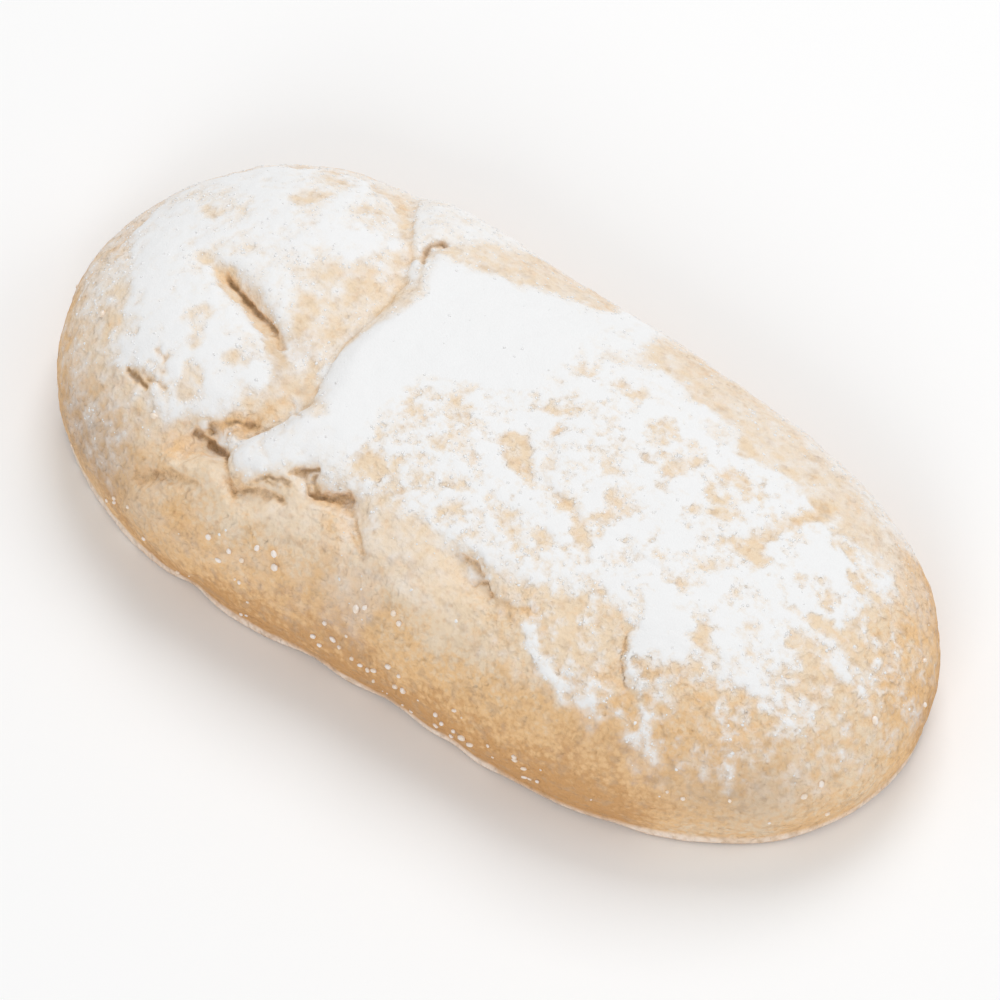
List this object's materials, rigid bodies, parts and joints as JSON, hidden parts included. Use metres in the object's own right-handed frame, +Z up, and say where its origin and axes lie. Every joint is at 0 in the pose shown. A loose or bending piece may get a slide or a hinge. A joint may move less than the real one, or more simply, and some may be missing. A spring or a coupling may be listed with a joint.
{
  "type": "ladyfinger",
  "caption": "Soft oval sponge biscuit with a folded flap, a slit, a torn ledge and a thin foot, dusted with powdered sugar, to eat or to layer in a dessert.",
  "frame": {"origin": "middle of the biscuit's box in plan, at the flat underside it rests on", "axes": "+X along the length to the narrower end, +Y across to the side away from the torn ledge, +Z up"},
  "size_m": [0.1084, 0.0542, 0.0221],
  "materials": {
    "sponge": "dry, finely wrinkled sponge crust, pale golden on top and browner low on its sides"
  },
  "bodies": {
    "root": {"ladyfinger": "sponge"}
  },
  "joints": []
}
